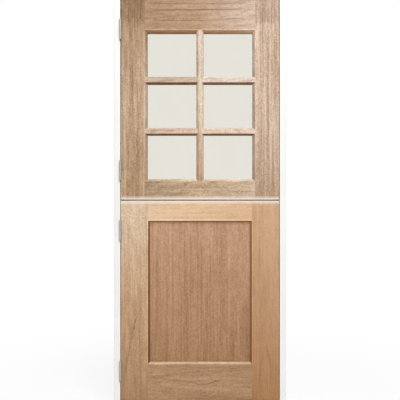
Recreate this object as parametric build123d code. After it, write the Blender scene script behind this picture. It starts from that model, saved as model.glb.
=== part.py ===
from build123d import *
import os

# Stable door in two leaves, one above the other, hung in a timber frame.
# X runs to the right, Y from the front to the back, Z up. The origin is the middle of the frame's base.
# All lengths are millimetres.

# Leaves
leaf_width = 813.0
leaf_thickness = 44.0
upper_leaf_height = 1024.0
lower_leaf_height = 1022.0
leaf_arris = 1.0

# Gaps round the leaves
side_gap = 3.0
head_gap = 3.0
meeting_gap = 8.0
threshold_gap = 5.0
stop_gap = 1.0

# Frame
frame_depth = 115.0
jamb_thickness = 32.0
head_thickness = 32.0
head_housing = 10.0
threshold_height = 30.0
stop_thickness = 12.0
stop_depth = 38.0
frame_arris = 1.5

# Widths of the upper leaf's members across their flat faces
upper_stile_face = 123.0
top_rail_face = 155.0
meeting_rail_face = 92.0
upright_bar_face = 20.0
cross_bar_face = 21.0

# Widths of the lower leaf's members across their flat faces
lower_stile_face = 139.5
lower_top_rail_face = 101.0
bottom_rail_face = 184.0

# Moulding worked on the edges round the glass and the panel
moulding_width = 13.0
bar_moulding_width = 9.0
panel_moulding_width = 9.0
moulding_depth = 12.0
moulding_quirk = 1.2
moulding_crown = 1.2

# Glass and the beads that hold it from behind
pane_columns = 2
pane_rows = 3
glass_thickness = 6.0
glass_setback = 19.0
rebate_width = 12.0
glass_edge_gap = 3.0
bead_moulding_width = 8.0
bead_moulding_depth = 10.0
setting_block_length = 25.0
setting_block_inset = 60.0

# Panel of the lower leaf
panel_thickness = 12.0
panel_groove_depth = 11.0
panel_edge_gap = 1.0
panel_face_gap = 0.1

# Rubber seal in the lower leaf's top edge
seal_thickness = 10.0
seal_setback = 8.0
seal_groove_depth = 4.0
seal_top_gap = 0.6
seal_round = 1.5

# Dowels in the corner joints
dowel_radius = 6.0
dowel_length = 110.0
dowel_chamfer = 1.0
dowel_side_gap = 0.05
dowel_end_gap = 1.0
dowel_edge_distance = 35.0
wide_rail_dowel_count = 3
narrow_rail_dowel_count = 2

# Butt hinges
hinge_length = 100.0
hinge_inset = 150.0
hinge_throw = 6.5
plate_thickness = 2.5
plate_reach = 30.0
plate_edge_gap = 0.1
knuckle_count = 5
knuckle_radius = 6.0
knuckle_end_gap = 0.2
knuckle_side_gap = 0.3
pin_radius = 3.0
pin_side_gap = 0.05
pin_head_radius = 4.8
pin_head_height = 2.0
pin_head_round = 1.4

# Countersunk screws in the hinge plates
plate_screw_count = 4
plate_screw_stagger = 5.5
plate_screw_head_radius = 4.0
plate_screw_shank_radius = 2.0
plate_screw_length = 28.0

# Countersunk screws in the frame's corners
corner_screw_head_radius = 5.0
corner_screw_shank_radius = 2.5
corner_screw_length = 80.0
corner_screw_edge_distance = 28.0

# Form shared by all the screws
screw_side_gap = 0.05
screw_tip_share = 2.5
recess_arm_share = 1.3
recess_width_share = 0.28
recess_depth_share = 0.45

# Holes that fix the frame to a wall
fixing_hole_radius = 4.0
fixing_counterbore_radius = 8.0
fixing_counterbore_depth = 8.0
fixing_end_distance = 150.0
fixing_hole_count = 4

# Places that follow from the sizes above
front_y = -frame_depth / 2
back_y = frame_depth / 2
leaf_back_y = front_y + leaf_thickness
stop_front_y = leaf_back_y + stop_gap
stop_back_y = stop_front_y + stop_depth
leaf_half = leaf_width / 2
opening_half = leaf_half + side_gap
frame_half = opening_half + jamb_thickness
lower_z0 = threshold_height + threshold_gap
lower_z1 = lower_z0 + lower_leaf_height
upper_z0 = lower_z1 + meeting_gap
upper_z1 = upper_z0 + upper_leaf_height
head_z0 = upper_z1 + head_gap
head_z1 = head_z0 + head_thickness
jamb_z1 = head_z0 + head_housing
hinge_x = -leaf_half - side_gap / 2
hinge_y = front_y - hinge_throw
groove_front = (leaf_thickness - panel_thickness) / 2 - panel_face_gap
groove_back = leaf_thickness - groove_front
glass_back = glass_setback + glass_thickness
fixing_y = (stop_back_y + back_y) / 2
left = (1, 0, 0)
right = (-1, 0, 0)
upwards = (0, 0, 1)
downwards = (0, 0, -1)


def block(x_span, y_span, z_span):
    """A box between two limits along each axis, given in any order."""
    spans = (sorted(x_span), sorted(y_span), sorted(z_span))
    middle = [(low + high) / 2 for low, high in spans]
    return Pos(*middle) * Box(*[high - low for low, high in spans])


def rod(start, direction, radius, length):
    """A plain cylinder from a start point along a direction."""
    return extrude(Plane(origin=start, z_dir=direction) * Circle(radius), amount=length)


def group(pieces):
    """Several separate solids as one node."""
    return Compound([solid for piece in pieces for solid in piece.solids()])


def slope(u, v, width, depth, inward):
    """The moulding's crowned slope, from the foot of its quirk to the sight edge."""
    start = Vector(u, v + inward * moulding_quirk)
    end = Vector(u + width, v + inward * depth)
    chord = end - start
    outward = Vector(chord.Y, -chord.X).normalized() * inward
    return ThreePointArc(start, (start + end) / 2 + outward * moulding_crown, end)


def glazed_section(face, width):
    """Half a section: flat face from zero, then the moulding, the lip and the rebate for the glass."""
    sight = face + width
    wall = sight - rebate_width
    outline = Polyline((0, 0), (face, 0), (face, moulding_quirk))
    outline += slope(face, 0, width, moulding_depth, 1)
    outline += Polyline(
        (sight, moulding_depth),
        (sight, glass_setback),
        (wall, glass_setback),
        (wall, leaf_thickness),
        (0, leaf_thickness),
        (0, 0),
    )
    return make_face(outline.edges())


def panelled_section(face):
    """Section of a member with a moulding on both faces and a groove for the panel."""
    sight = face + panel_moulding_width
    groove = sight - panel_groove_depth
    outline = Polyline((0, 0), (face, 0), (face, moulding_quirk))
    outline += slope(face, 0, panel_moulding_width, moulding_depth, 1)
    outline += Polyline(
        (sight, moulding_depth),
        (sight, groove_front),
        (groove, groove_front),
        (groove, groove_back),
        (sight, groove_back),
        (sight, leaf_thickness - moulding_depth),
    )
    outline += slope(face, leaf_thickness, panel_moulding_width, moulding_depth, -1)
    outline += Polyline((face, leaf_thickness - moulding_quirk), (face, leaf_thickness), (0, leaf_thickness), (0, 0))
    return make_face(outline.edges())


def bar_section(face):
    """Section of a glazing bar, the same on both sides of its centre line."""
    half = glazed_section(face / 2, bar_moulding_width)
    return half + mirror(half, about=Plane.YZ)


def bead_section():
    """Section of a glazing bead, from the rebate's wall to the sight edge."""
    start = rebate_width - bead_moulding_width
    outline = Polyline(
        (start, leaf_thickness - moulding_quirk),
        (start, leaf_thickness),
        (0, leaf_thickness),
        (0, glass_back),
        (rebate_width, glass_back),
        (rebate_width, leaf_thickness - bead_moulding_depth),
    )
    outline += slope(start, leaf_thickness, bead_moulding_width, bead_moulding_depth, -1)
    return make_face(outline.edges())


def member(section, x, z, across, length):
    """A straight length of one section, centred on a point of the front face, its width running across."""
    along = Vector(*across).cross(Vector(0, 1, 0))
    plane = Plane(origin=(x, front_y, z), x_dir=across, z_dir=along)
    return extrude(plane * section, amount=length / 2, both=True)


def leaf_envelope(z0, z1):
    """The whole leaf's block with its outer edges eased, which trims every outer member."""
    body = block((-leaf_half, leaf_half), (front_y, leaf_back_y), (z0, z1))
    return chamfer(body.edges(), leaf_arris)


def stile_blank(section, side, z0, z1):
    """A stile at full length before its holes. The side is 1 for the left one and -1 for the right one."""
    return member(section, -side * leaf_half, (z0 + z1) / 2, (side, 0, 0), z1 - z0)


def rail_blank(section, z, across, stile_face):
    """A rail between the two stiles' shoulders before its ends are fitted."""
    return member(section, 0, z, across, leaf_width - 2 * stile_face)


def dowel_heights(z_outer, z_inner, count):
    """Heights of the dowels in one end of a rail, spread between its outer edge and its sight edge."""
    way = 1 if z_inner > z_outer else -1
    first = z_outer + way * dowel_edge_distance
    last = z_inner - way * dowel_edge_distance
    return [first + (last - first) * i / (count - 1) for i in range(count)]


def dowels_at(heights, shoulder_x, radius, length):
    """Dowels, or the holes for them, across both stile joints at the given heights."""
    middle_y = front_y + leaf_thickness / 2
    return [
        rod((side * shoulder_x - length / 2, middle_y, z), (1, 0, 0), radius, length)
        for side in (-1, 1)
        for z in heights
    ]


def dowel_holes(heights, shoulder_x):
    """The holes for one leaf's dowels, with their clearances."""
    return dowels_at(heights, shoulder_x, dowel_radius + dowel_side_gap, dowel_length + 2 * dowel_end_gap)


def dowels(heights, shoulder_x):
    """One leaf's dowels with their ends eased."""
    pins = dowels_at(heights, shoulder_x, dowel_radius, dowel_length)
    return group([chamfer(pin.edges().filter_by(GeomType.CIRCLE), dowel_chamfer) for pin in pins])


def screw_form(head_radius, shank_radius, length):
    """A countersunk screw's outer form, its head at the origin and its tip along Z."""
    head_depth = head_radius - shank_radius
    shank_end = length - screw_tip_share * shank_radius
    outline = Polyline(
        (0, 0),
        (head_radius, 0),
        (shank_radius, head_depth),
        (shank_radius, shank_end),
        (0, length),
        (0, 0),
    )
    return revolve(Plane.XZ * make_face(outline.edges()), axis=Axis.Z)


def screw_body(head_radius, shank_radius, length):
    """A countersunk screw with a cross recess, its head at the origin and its tip along Z."""
    arm = recess_arm_share * head_radius
    slot = recess_width_share * head_radius
    deep = recess_depth_share * head_radius
    cross = Box(arm, slot, 2 * deep) + Box(slot, arm, 2 * deep)
    body = Rot(180, 0, 0) * screw_form(head_radius, shank_radius, length)
    return Rot(180, 0, 0) * (body - cross)


def seated(form, spots, direction):
    """Copies of one form, each with its head at a spot and its axis along a direction."""
    return [Plane(origin=spot, z_dir=direction) * form for spot in spots]


def plate_screw_holes(spots, direction):
    """The holes for one plate's screws, through the plate and into the timber."""
    form = screw_form(
        plate_screw_head_radius + screw_side_gap,
        plate_screw_shank_radius + screw_side_gap,
        plate_screw_length + screw_side_gap,
    )
    return seated(form, spots, direction)


def plate_screw_spots(z, side):
    """Places of one plate's screw heads, staggered in two columns. The side is 1 on the leaf, -1 on the frame."""
    pitch = hinge_length / plate_screw_count
    x = hinge_x + side * side_gap / 2
    middle_y = front_y + plate_reach / 2
    spots = []
    for i in range(plate_screw_count):
        stagger = plate_screw_stagger if i % 2 else -plate_screw_stagger
        spots.append((x, middle_y + stagger, z - hinge_length / 2 + pitch * (i + 0.5)))
    return spots


def hinge_heights(z0, z1):
    """Heights of the middle of a leaf's two hinges, the top one first."""
    return [z1 - hinge_inset, z0 + hinge_inset]


def plate_recess(z, side):
    """The shallow recess that takes a hinge plate flush with the timber's edge."""
    near = hinge_x + side * side_gap / 2
    far = near + side * plate_thickness
    half = hinge_length / 2 + plate_edge_gap
    return block((near, far), (front_y, front_y + plate_reach + plate_edge_gap), (z - half, z + half))


def knuckle_span(index, z):
    """Lowest and highest level of one knuckle, with half the end gap at each inner end."""
    pitch = hinge_length / knuckle_count
    bottom = z - hinge_length / 2 + index * pitch
    low_gap = knuckle_end_gap / 2 if index else 0
    high_gap = knuckle_end_gap / 2 if index < knuckle_count - 1 else 0
    return bottom + low_gap, bottom + pitch - high_gap


def hinge_plate(z, side):
    """One half of a hinge. The side is 1 for the leaf's plate and -1 for the frame's, which has the end knuckles."""
    near = hinge_x + side * side_gap / 2
    far = near + side * plate_thickness
    half = hinge_length / 2
    pitch = hinge_length / knuckle_count
    plate = block((near, far), (hinge_y, front_y + plate_reach), (z - half, z + half))
    for index in range(knuckle_count):
        own = (index % 2 == 1) == (side == 1)
        if own:
            low, high = knuckle_span(index, z)
            plate += rod((hinge_x, hinge_y, low), upwards, knuckle_radius, high - low)
        else:
            start = (hinge_x, hinge_y, z - half + index * pitch)
            plate -= rod(start, upwards, knuckle_radius + knuckle_side_gap, pitch)
    plate -= rod((hinge_x, hinge_y, z - half), upwards, pin_radius + pin_side_gap, hinge_length)
    return plate - plate_screw_holes(plate_screw_spots(z, side), (side, 0, 0))


def hinge_pin(z):
    """A hinge pin with a rounded head at each end, closed over the end knuckles."""
    half = hinge_length / 2
    pin = rod((hinge_x, hinge_y, z - half), upwards, pin_radius, hinge_length)
    for way, direction in ((1, upwards), (-1, downwards)):
        head = rod((hinge_x, hinge_y, z + way * half), direction, pin_head_radius, pin_head_height)
        rim = head.edges().filter_by(GeomType.CIRCLE).sort_by(Axis.Z)[-1 if way == 1 else 0]
        pin += fillet(rim, pin_head_round)
    return pin


def plate_screws(heights, side):
    """The screws of several hinge plates on one side."""
    form = screw_body(plate_screw_head_radius, plate_screw_shank_radius, plate_screw_length)
    return group([screw for z in heights for screw in seated(form, plate_screw_spots(z, side), (side, 0, 0))])


def cut_for_hinges(timber, heights, side):
    """A stile or jamb with the recesses and pilot holes of its hinge plates."""
    for z in heights:
        timber -= plate_recess(z, side)
        timber -= plate_screw_holes(plate_screw_spots(z, side), (side, 0, 0))
    return timber


def corner_screw_ys():
    """The two places across the frame's depth where its corner screws go in."""
    return [front_y + corner_screw_edge_distance, back_y - corner_screw_edge_distance]


def corner_screws(form):
    """One form at every corner screw's place: down through the head, and sideways through the jambs."""
    jamb_x = opening_half + jamb_thickness / 2
    pieces = []
    for side in (-1, 1):
        head_spots = [(side * jamb_x, y, head_z1) for y in corner_screw_ys()]
        foot_spots = [(side * frame_half, y, threshold_height / 2) for y in corner_screw_ys()]
        pieces += seated(form, head_spots, downwards)
        pieces += seated(form, foot_spots, (-side, 0, 0))
    return pieces


def corner_screw_holes():
    """The holes of the corner screws."""
    form = screw_form(
        corner_screw_head_radius + screw_side_gap,
        corner_screw_shank_radius + screw_side_gap,
        corner_screw_length + screw_side_gap,
    )
    return corner_screws(form)


def fixing_heights():
    """Heights of the wall fixings, the same on both jambs."""
    span = head_z0 - 2 * fixing_end_distance
    return [fixing_end_distance + span * i / (fixing_hole_count - 1) for i in range(fixing_hole_count)]


def fixing_holes(side):
    """Through holes for the wall fixings of one jamb, each with a counterbore on the doorway's side."""
    holes = []
    for z in fixing_heights():
        start = (side * opening_half, fixing_y, z)
        holes.append(rod(start, (side, 0, 0), fixing_hole_radius, jamb_thickness))
        holes.append(rod(start, (side, 0, 0), fixing_counterbore_radius, fixing_counterbore_depth))
    return holes


def jamb(side):
    """A side of the frame, with its top end housed in the head. The side is -1 for the hinge side."""
    body = block((side * opening_half, side * frame_half), (front_y, back_y), (0, jamb_z1))
    body = chamfer(body.edges().filter_by(Axis.Z), frame_arris)
    body -= fixing_holes(side)
    return body - corner_screw_holes()


def hinge_jamb():
    """The jamb that carries the hinges."""
    heights = hinge_heights(upper_z0, upper_z1) + hinge_heights(lower_z0, lower_z1)
    return cut_for_hinges(jamb(-1), heights, -1)


def head_jamb():
    """The frame's head, rebated at each end over a jamb."""
    body = block((-frame_half, frame_half), (front_y, back_y), (head_z0, head_z1))
    body = chamfer(body.edges().filter_by(Axis.X), frame_arris)
    for side in (-1, 1):
        body -= block((side * opening_half, side * frame_half), (front_y, back_y), (head_z0, jamb_z1))
    return body - corner_screw_holes()


def threshold():
    """The sill between the jambs, with an upstand behind the lower leaf."""
    body = block((-opening_half, opening_half), (front_y, back_y), (0, threshold_height))
    body = chamfer(body.edges().filter_by(Axis.X), frame_arris)
    upstand_z1 = threshold_height + stop_thickness
    upstand = block((-opening_half, opening_half), (stop_front_y, stop_back_y), (threshold_height / 2, upstand_z1))
    back_edge = upstand.edges().filter_by(Axis.X).group_by(Axis.Z)[-1].sort_by(Axis.Y)[-1]
    upstand = chamfer(back_edge, stop_thickness / 2)
    return body + upstand - corner_screw_holes()


def side_stop(side):
    """The strip on a jamb that the leaves close against."""
    x_span = (side * (opening_half - stop_thickness), side * opening_half)
    body = block(x_span, (stop_front_y, stop_back_y), (threshold_height + stop_thickness, head_z0))
    inner_edges = body.edges().filter_by(Axis.Z).sort_by(Axis.X)
    return chamfer(inner_edges[:2] if side == 1 else inner_edges[-2:], frame_arris)


def head_stop():
    """The strip under the head, between the two side stops."""
    half = opening_half - stop_thickness
    body = block((-half, half), (stop_front_y, stop_back_y), (head_z0 - stop_thickness, head_z0))
    return chamfer(body.edges().filter_by(Axis.X).group_by(Axis.Z)[0], frame_arris)


# Lines of the upper leaf that its members share
upper_shoulder = leaf_half - upper_stile_face
upper_top_shoulder = upper_z1 - top_rail_face
upper_foot_shoulder = upper_z0 + meeting_rail_face
upright_bar_half = upright_bar_face / 2 + bar_moulding_width
cross_bar_half = cross_bar_face / 2 + bar_moulding_width
sight_x1 = upper_shoulder - moulding_width
sight_z0 = upper_foot_shoulder + moulding_width
sight_z1 = upper_top_shoulder - moulding_width
pane_sight_width = (2 * sight_x1 - (pane_columns - 1) * 2 * upright_bar_half) / pane_columns
pane_sight_height = (sight_z1 - sight_z0 - (pane_rows - 1) * 2 * cross_bar_half) / pane_rows
rebate_opening_width = pane_sight_width + 2 * rebate_width
rebate_opening_height = pane_sight_height + 2 * rebate_width
column_pitch = pane_sight_width + 2 * upright_bar_half
row_pitch = pane_sight_height + 2 * cross_bar_half


def column_x(column):
    """Middle of a column of panes, counted from the left."""
    return -sight_x1 + pane_sight_width / 2 + column * column_pitch


def row_z(row):
    """Middle of a row of panes, counted from the top."""
    return sight_z1 - pane_sight_height / 2 - row * row_pitch


def upper_dowel_heights():
    """Heights of the upper leaf's dowels, in the top rail and the meeting rail."""
    top = dowel_heights(upper_z1, sight_z1, wide_rail_dowel_count)
    return top + dowel_heights(upper_z0, sight_z0, narrow_rail_dowel_count)


def upper_stile(side):
    """A stile of the upper leaf with its dowel holes. The side is 1 for the left, hinge side."""
    blank = stile_blank(glazed_section(upper_stile_face, moulding_width), side, upper_z0, upper_z1)
    blank &= leaf_envelope(upper_z0, upper_z1)
    return blank - dowel_holes(upper_dowel_heights(), upper_shoulder)


def upper_rail_blank(z, across, face):
    """A rail of the upper leaf before its ends are fitted."""
    return rail_blank(glazed_section(face, moulding_width), z, across, upper_stile_face)


def upper_rail(z, across, face):
    """A rail of the upper leaf, its ends fitted over the stiles' mouldings."""
    rail = upper_rail_blank(z, across, face) & leaf_envelope(upper_z0, upper_z1)
    section = glazed_section(upper_stile_face, moulding_width)
    for side in (-1, 1):
        rail -= stile_blank(section, side, upper_z0, upper_z1)
    return rail - dowel_holes(upper_dowel_heights(), upper_shoulder)


def upright_bar_blank():
    """The upright glazing bar before its ends are fitted."""
    middle_z = (upper_foot_shoulder + upper_top_shoulder) / 2
    length = upper_top_shoulder - upper_foot_shoulder
    return member(bar_section(upright_bar_face), 0, middle_z, left, length)


def upright_glazing_bar():
    """The upright bar in one length, its ends fitted over the rails' mouldings."""
    bar = upright_bar_blank()
    bar -= upper_rail_blank(upper_z1, downwards, top_rail_face)
    return bar - upper_rail_blank(upper_z0, upwards, meeting_rail_face)


def cross_bar(column, row):
    """A short cross bar under a pane, fitted over the stile's moulding and the upright bar's."""
    side = 1 if column == 0 else -1
    inner = upright_bar_face / 2
    middle_x = -side * (upper_shoulder + inner) / 2
    middle_z = row_z(row) - row_pitch / 2
    bar = member(bar_section(cross_bar_face), middle_x, middle_z, upwards, upper_shoulder - inner)
    bar -= stile_blank(glazed_section(upper_stile_face, moulding_width), side, upper_z0, upper_z1)
    return bar - upright_bar_blank()


def glass_pane(column, row):
    """One sheet of clear glass in its rebate."""
    half_x = rebate_opening_width / 2 - glass_edge_gap
    half_z = rebate_opening_height / 2 - glass_edge_gap
    x = column_x(column)
    z = row_z(row)
    y_span = (front_y + glass_setback, front_y + glass_back)
    return block((x - half_x, x + half_x), y_span, (z - half_z, z + half_z))


def mitred(piece, corners):
    """A bead cut to the shape of its four corners, seen from the front."""
    outline = Plane.XZ * Polygon(*corners, align=None)
    return piece & extrude(outline, amount=frame_depth, both=True)


def glazing_beads(column, row):
    """The four mitred beads behind one pane."""
    half_x = rebate_opening_width / 2
    half_z = rebate_opening_height / 2
    x = column_x(column)
    z = row_z(row)
    section = bead_section()
    beads = []
    for way in (-1, 1):
        edge_x = x + way * half_x
        inner_x = edge_x - way * rebate_width
        corners = [(edge_x, z - half_z), (inner_x, z - half_z + rebate_width)]
        corners += [(inner_x, z + half_z - rebate_width), (edge_x, z + half_z)]
        beads.append(mitred(member(section, edge_x, z, (-way, 0, 0), 2 * half_z), corners))
        edge_z = z + way * half_z
        inner_z = edge_z - way * rebate_width
        corners = [(x - half_x, edge_z), (x - half_x + rebate_width, inner_z)]
        corners += [(x + half_x - rebate_width, inner_z), (x + half_x, edge_z)]
        beads.append(mitred(member(section, x, edge_z, (0, 0, -way), 2 * half_x), corners))
    return group(beads)


def setting_blocks():
    """The small blocks that each pane stands on, two to a pane."""
    pieces = []
    y_span = (front_y + glass_setback, front_y + glass_back)
    for column in range(pane_columns):
        for row in range(pane_rows):
            floor_z = row_z(row) - rebate_opening_height / 2
            for way in (-1, 1):
                x = column_x(column) + way * (rebate_opening_width / 2 - setting_block_inset)
                x_span = (x - setting_block_length / 2, x + setting_block_length / 2)
                pieces.append(block(x_span, y_span, (floor_z, floor_z + glass_edge_gap)))
    return group(pieces)


# Lines of the lower leaf that its members share
lower_shoulder = leaf_half - lower_stile_face
panel_sight_x1 = lower_shoulder - panel_moulding_width
panel_sight_z0 = lower_z0 + bottom_rail_face + panel_moulding_width
panel_sight_z1 = lower_z1 - lower_top_rail_face - panel_moulding_width


def lower_dowel_heights():
    """Heights of the lower leaf's dowels, in the bottom rail and the top rail."""
    bottom = dowel_heights(lower_z0, panel_sight_z0, wide_rail_dowel_count)
    return bottom + dowel_heights(lower_z1, panel_sight_z1, narrow_rail_dowel_count)


def lower_stile(side):
    """A stile of the lower leaf with its dowel holes. The side is 1 for the left, hinge side."""
    blank = stile_blank(panelled_section(lower_stile_face), side, lower_z0, lower_z1)
    blank &= leaf_envelope(lower_z0, lower_z1)
    return blank - dowel_holes(lower_dowel_heights(), lower_shoulder) - seal_groove()


def lower_rail(z, across, face):
    """A rail of the lower leaf, its ends fitted over the stiles' mouldings."""
    rail = rail_blank(panelled_section(face), z, across, lower_stile_face)
    rail &= leaf_envelope(lower_z0, lower_z1)
    for side in (-1, 1):
        rail -= stile_blank(panelled_section(lower_stile_face), side, lower_z0, lower_z1)
    return rail - dowel_holes(lower_dowel_heights(), lower_shoulder)


def seal_strip(half_length, top_z):
    """A strip along the lower leaf's top edge, from the groove's floor up to a level."""
    y0 = front_y + seal_setback
    return block((-half_length, half_length), (y0, y0 + seal_thickness), (lower_z1 - seal_groove_depth, top_z))


def seal_groove():
    """The groove that holds the seal, cut across both stiles and the top rail."""
    return seal_strip(leaf_half, lower_z1)


def meeting_seal():
    """The seal that closes the gap under the upper leaf, its top edges rounded."""
    seal = seal_strip(leaf_half - leaf_arris, upper_z0 - seal_top_gap)
    return fillet(seal.edges().filter_by(Axis.X).group_by(Axis.Z)[-1], seal_round)


def lower_panel():
    """The flat panel, loose in its groove on all four sides."""
    cover = panel_groove_depth - panel_edge_gap
    y0 = front_y + (leaf_thickness - panel_thickness) / 2
    x_span = (-panel_sight_x1 - cover, panel_sight_x1 + cover)
    return block(x_span, (y0, y0 + panel_thickness), (panel_sight_z0 - cover, panel_sight_z1 + cover))


upper_hinges = hinge_heights(upper_z0, upper_z1)
lower_hinges = hinge_heights(lower_z0, lower_z1)

nodes = {
    "hinge_jamb": hinge_jamb(),
    "latch_jamb": jamb(1),
    "head_jamb": head_jamb(),
    "threshold": threshold(),
    "hinge_side_stop": side_stop(-1),
    "latch_side_stop": side_stop(1),
    "head_stop": head_stop(),
    "frame_corner_screws": group(
        corner_screws(screw_body(corner_screw_head_radius, corner_screw_shank_radius, corner_screw_length))
    ),
    "frame_hinge_screws": plate_screws(upper_hinges + lower_hinges, -1),
    "upper_hinge_stile": cut_for_hinges(upper_stile(1), upper_hinges, 1),
    "upper_latch_stile": upper_stile(-1),
    "upper_top_rail": upper_rail(upper_z1, downwards, top_rail_face),
    "upper_meeting_rail": upper_rail(upper_z0, upwards, meeting_rail_face),
    "upright_glazing_bar": upright_glazing_bar(),
    "glass_setting_blocks": setting_blocks(),
    "upper_leaf_dowels": dowels(upper_dowel_heights(), upper_shoulder),
    "upper_leaf_hinge_screws": plate_screws(upper_hinges, 1),
    "lower_hinge_stile": cut_for_hinges(lower_stile(1), lower_hinges, 1),
    "lower_latch_stile": lower_stile(-1),
    "lower_top_rail": lower_rail(lower_z1, downwards, lower_top_rail_face) - seal_groove(),
    "meeting_seal": meeting_seal(),
    "bottom_rail": lower_rail(lower_z0, upwards, bottom_rail_face),
    "lower_panel": lower_panel(),
    "lower_leaf_dowels": dowels(lower_dowel_heights(), lower_shoulder),
    "lower_leaf_hinge_screws": plate_screws(lower_hinges, 1),
}

for leaf_name, heights in (("upper", upper_hinges), ("lower", lower_hinges)):
    for place, height in zip(("top", "bottom"), heights):
        hinge_name = leaf_name + "_" + place + "_hinge"
        nodes[hinge_name + "_frame_plate"] = hinge_plate(height, -1)
        nodes[hinge_name + "_leaf_plate"] = hinge_plate(height, 1)
        nodes[hinge_name + "_pin"] = hinge_pin(height)

for column in range(pane_columns):
    column_name = ("left", "right")[column]
    for row in range(pane_rows):
        pane_name = ("top", "middle", "bottom")[row] + "_" + column_name
        nodes["glass_pane_" + pane_name] = glass_pane(column, row)
        nodes["glazing_beads_" + pane_name] = glazing_beads(column, row)
        if row < pane_rows - 1:
            nodes["cross_bar_" + ("upper", "lower")[row] + "_" + column_name] = cross_bar(column, row)

os.makedirs("parts", exist_ok=True)
for name, shape in nodes.items():
    export_step(shape, "parts/" + name + ".step")
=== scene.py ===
"""Stable door in its frame: finishes, threaded screws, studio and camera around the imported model."""

import math

import bpy
from bpy.props import FloatProperty, FloatVectorProperty, IntProperty, PointerProperty
from mathutils import Matrix, Vector


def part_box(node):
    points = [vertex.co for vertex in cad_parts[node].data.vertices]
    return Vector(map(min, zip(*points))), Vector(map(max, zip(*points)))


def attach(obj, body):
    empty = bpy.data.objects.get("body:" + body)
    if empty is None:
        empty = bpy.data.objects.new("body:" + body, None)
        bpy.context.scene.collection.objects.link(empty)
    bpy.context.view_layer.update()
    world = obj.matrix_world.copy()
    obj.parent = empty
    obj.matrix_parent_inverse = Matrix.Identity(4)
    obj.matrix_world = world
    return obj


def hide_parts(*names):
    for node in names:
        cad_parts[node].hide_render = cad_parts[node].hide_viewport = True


bl_info = {
    "name": "Stable door",
    "version": (1, 0, 0),
    "blender": (4, 5, 0),
    "location": "3D View > Sidebar > Stable door",
    "description": "Finishes, fixings and studio for a glazed and panelled stable door",
    "category": "Object",
}

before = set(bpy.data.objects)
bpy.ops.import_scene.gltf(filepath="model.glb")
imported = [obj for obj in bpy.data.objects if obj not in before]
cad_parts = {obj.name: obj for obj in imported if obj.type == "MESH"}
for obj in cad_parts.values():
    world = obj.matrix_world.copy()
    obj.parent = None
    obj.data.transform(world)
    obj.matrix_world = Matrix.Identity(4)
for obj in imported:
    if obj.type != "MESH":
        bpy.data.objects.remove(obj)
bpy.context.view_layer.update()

VALUE = "NodeSocketFloat"
VECTOR = "NodeSocketVector"
COLOUR = "NodeSocketColor"
SOCKET_KINDS = {1: VALUE, 3: VECTOR, 4: COLOUR}
FINISH = {"Colour": COLOUR, "Roughness": VALUE, "Relief": VALUE}
OPAQUE_WHITE = (1, 1, 1, 1)
WHITE = (1, 1, 1)
UPRIGHT = (0, 0, 0)
LEVEL = (0, math.pi / 2, 0)


def screen_colour(red, green, blue):
    """A colour given in screen values from 0 to 255, as the shaders' linear values."""

    def linear(value):
        share = value / 255
        return share / 12.92 if share <= 0.04045 else ((share + 0.055) / 1.055) ** 2.4

    return tuple(linear(value) for value in (red, green, blue))


def opaque(colour):
    """A colour with full alpha."""
    return (*colour, 1.0)


def scaled(colour, factor):
    """A colour made lighter or darker, never above full."""
    return tuple(min(1.0, part * factor) for part in colour)


def tinted(colour, tint):
    """A colour multiplied by another."""
    return tuple(part * share for part, share in zip(colour, tint))


def colour_property(name, description, default):
    """A colour that the user can change."""
    return FloatVectorProperty(
        name=name, description=description, default=default, subtype="COLOR", size=3, min=0.0, max=1.0
    )


def oak_property(board, red, green, blue):
    """The colour of one board of oak, given in screen values."""
    return colour_property(board, f"Oak of the {board.lower()}", screen_colour(red, green, blue))


def length_property(name, description, default):
    """A length in metres that the user can change."""
    return FloatProperty(
        name=name, description=description, default=default, unit="LENGTH", min=0.0, precision=5
    )


def share_property(name, description, default):
    """A share between none and full that the user can change."""
    return FloatProperty(
        name=name, description=description, default=default, subtype="FACTOR", min=0.0, max=1.0
    )


def power_property(name, description, default):
    """A light's power that the user can change."""
    return FloatProperty(name=name, description=description, default=default, unit="POWER", min=0.0)


# What the user can change


class OakChoices(bpy.types.PropertyGroup):
    """Colours and texture of the oak."""

    upper_left: oak_property("Upper hinge stile", 187, 160, 133)
    upper_right: oak_property("Upper latch stile", 203, 178, 157)
    upper_top: oak_property("Upper top rail", 175, 144, 115)
    meeting: oak_property("Meeting rail", 189, 162, 133)
    bars: oak_property("Glazing bars and beads", 208, 187, 166)
    lower_left: oak_property("Lower hinge stile", 196, 161, 125)
    lower_right: oak_property("Lower latch stile", 189, 148, 111)
    lower_top: oak_property("Lower top rail", 222, 186, 150)
    lower_bottom: oak_property("Bottom rail", 173, 137, 104)
    panel: oak_property("Panel", 178, 137, 104)
    threshold: oak_property("Threshold", 200, 162, 124)
    # Painted highlight: the paler tone that the oak takes towards the edges where the leaves meet
    meeting_edges: oak_property("Painted meeting highlight", 249, 237, 226)
    pore_depth: length_property("Pore depth", "Depth of the open pores", 0.00012)


class TrimChoices(bpy.types.PropertyGroup):
    """Colours of everything that isn't oak."""

    primer: colour_property("Primer", "White primer on the frame", screen_colour(247, 246, 244))
    steel: colour_property("Steel", "Satin steel of hinges and screws", screen_colour(176, 176, 172))
    glass: colour_property("Glass", "Body colour of the panes", screen_colour(229, 226, 217))
    rubber: colour_property("Setting blocks", "Black rubber under the panes", screen_colour(38, 38, 39))
    seal: colour_property("Meeting seal", "Rubber between the leaves", screen_colour(168, 158, 144))
    beech: colour_property("Dowels", "Beech of the dowels", screen_colour(214, 182, 146))
    brush_depth: length_property("Brush marks", "Depth of the primer's brush marks", 0.00006)


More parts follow.
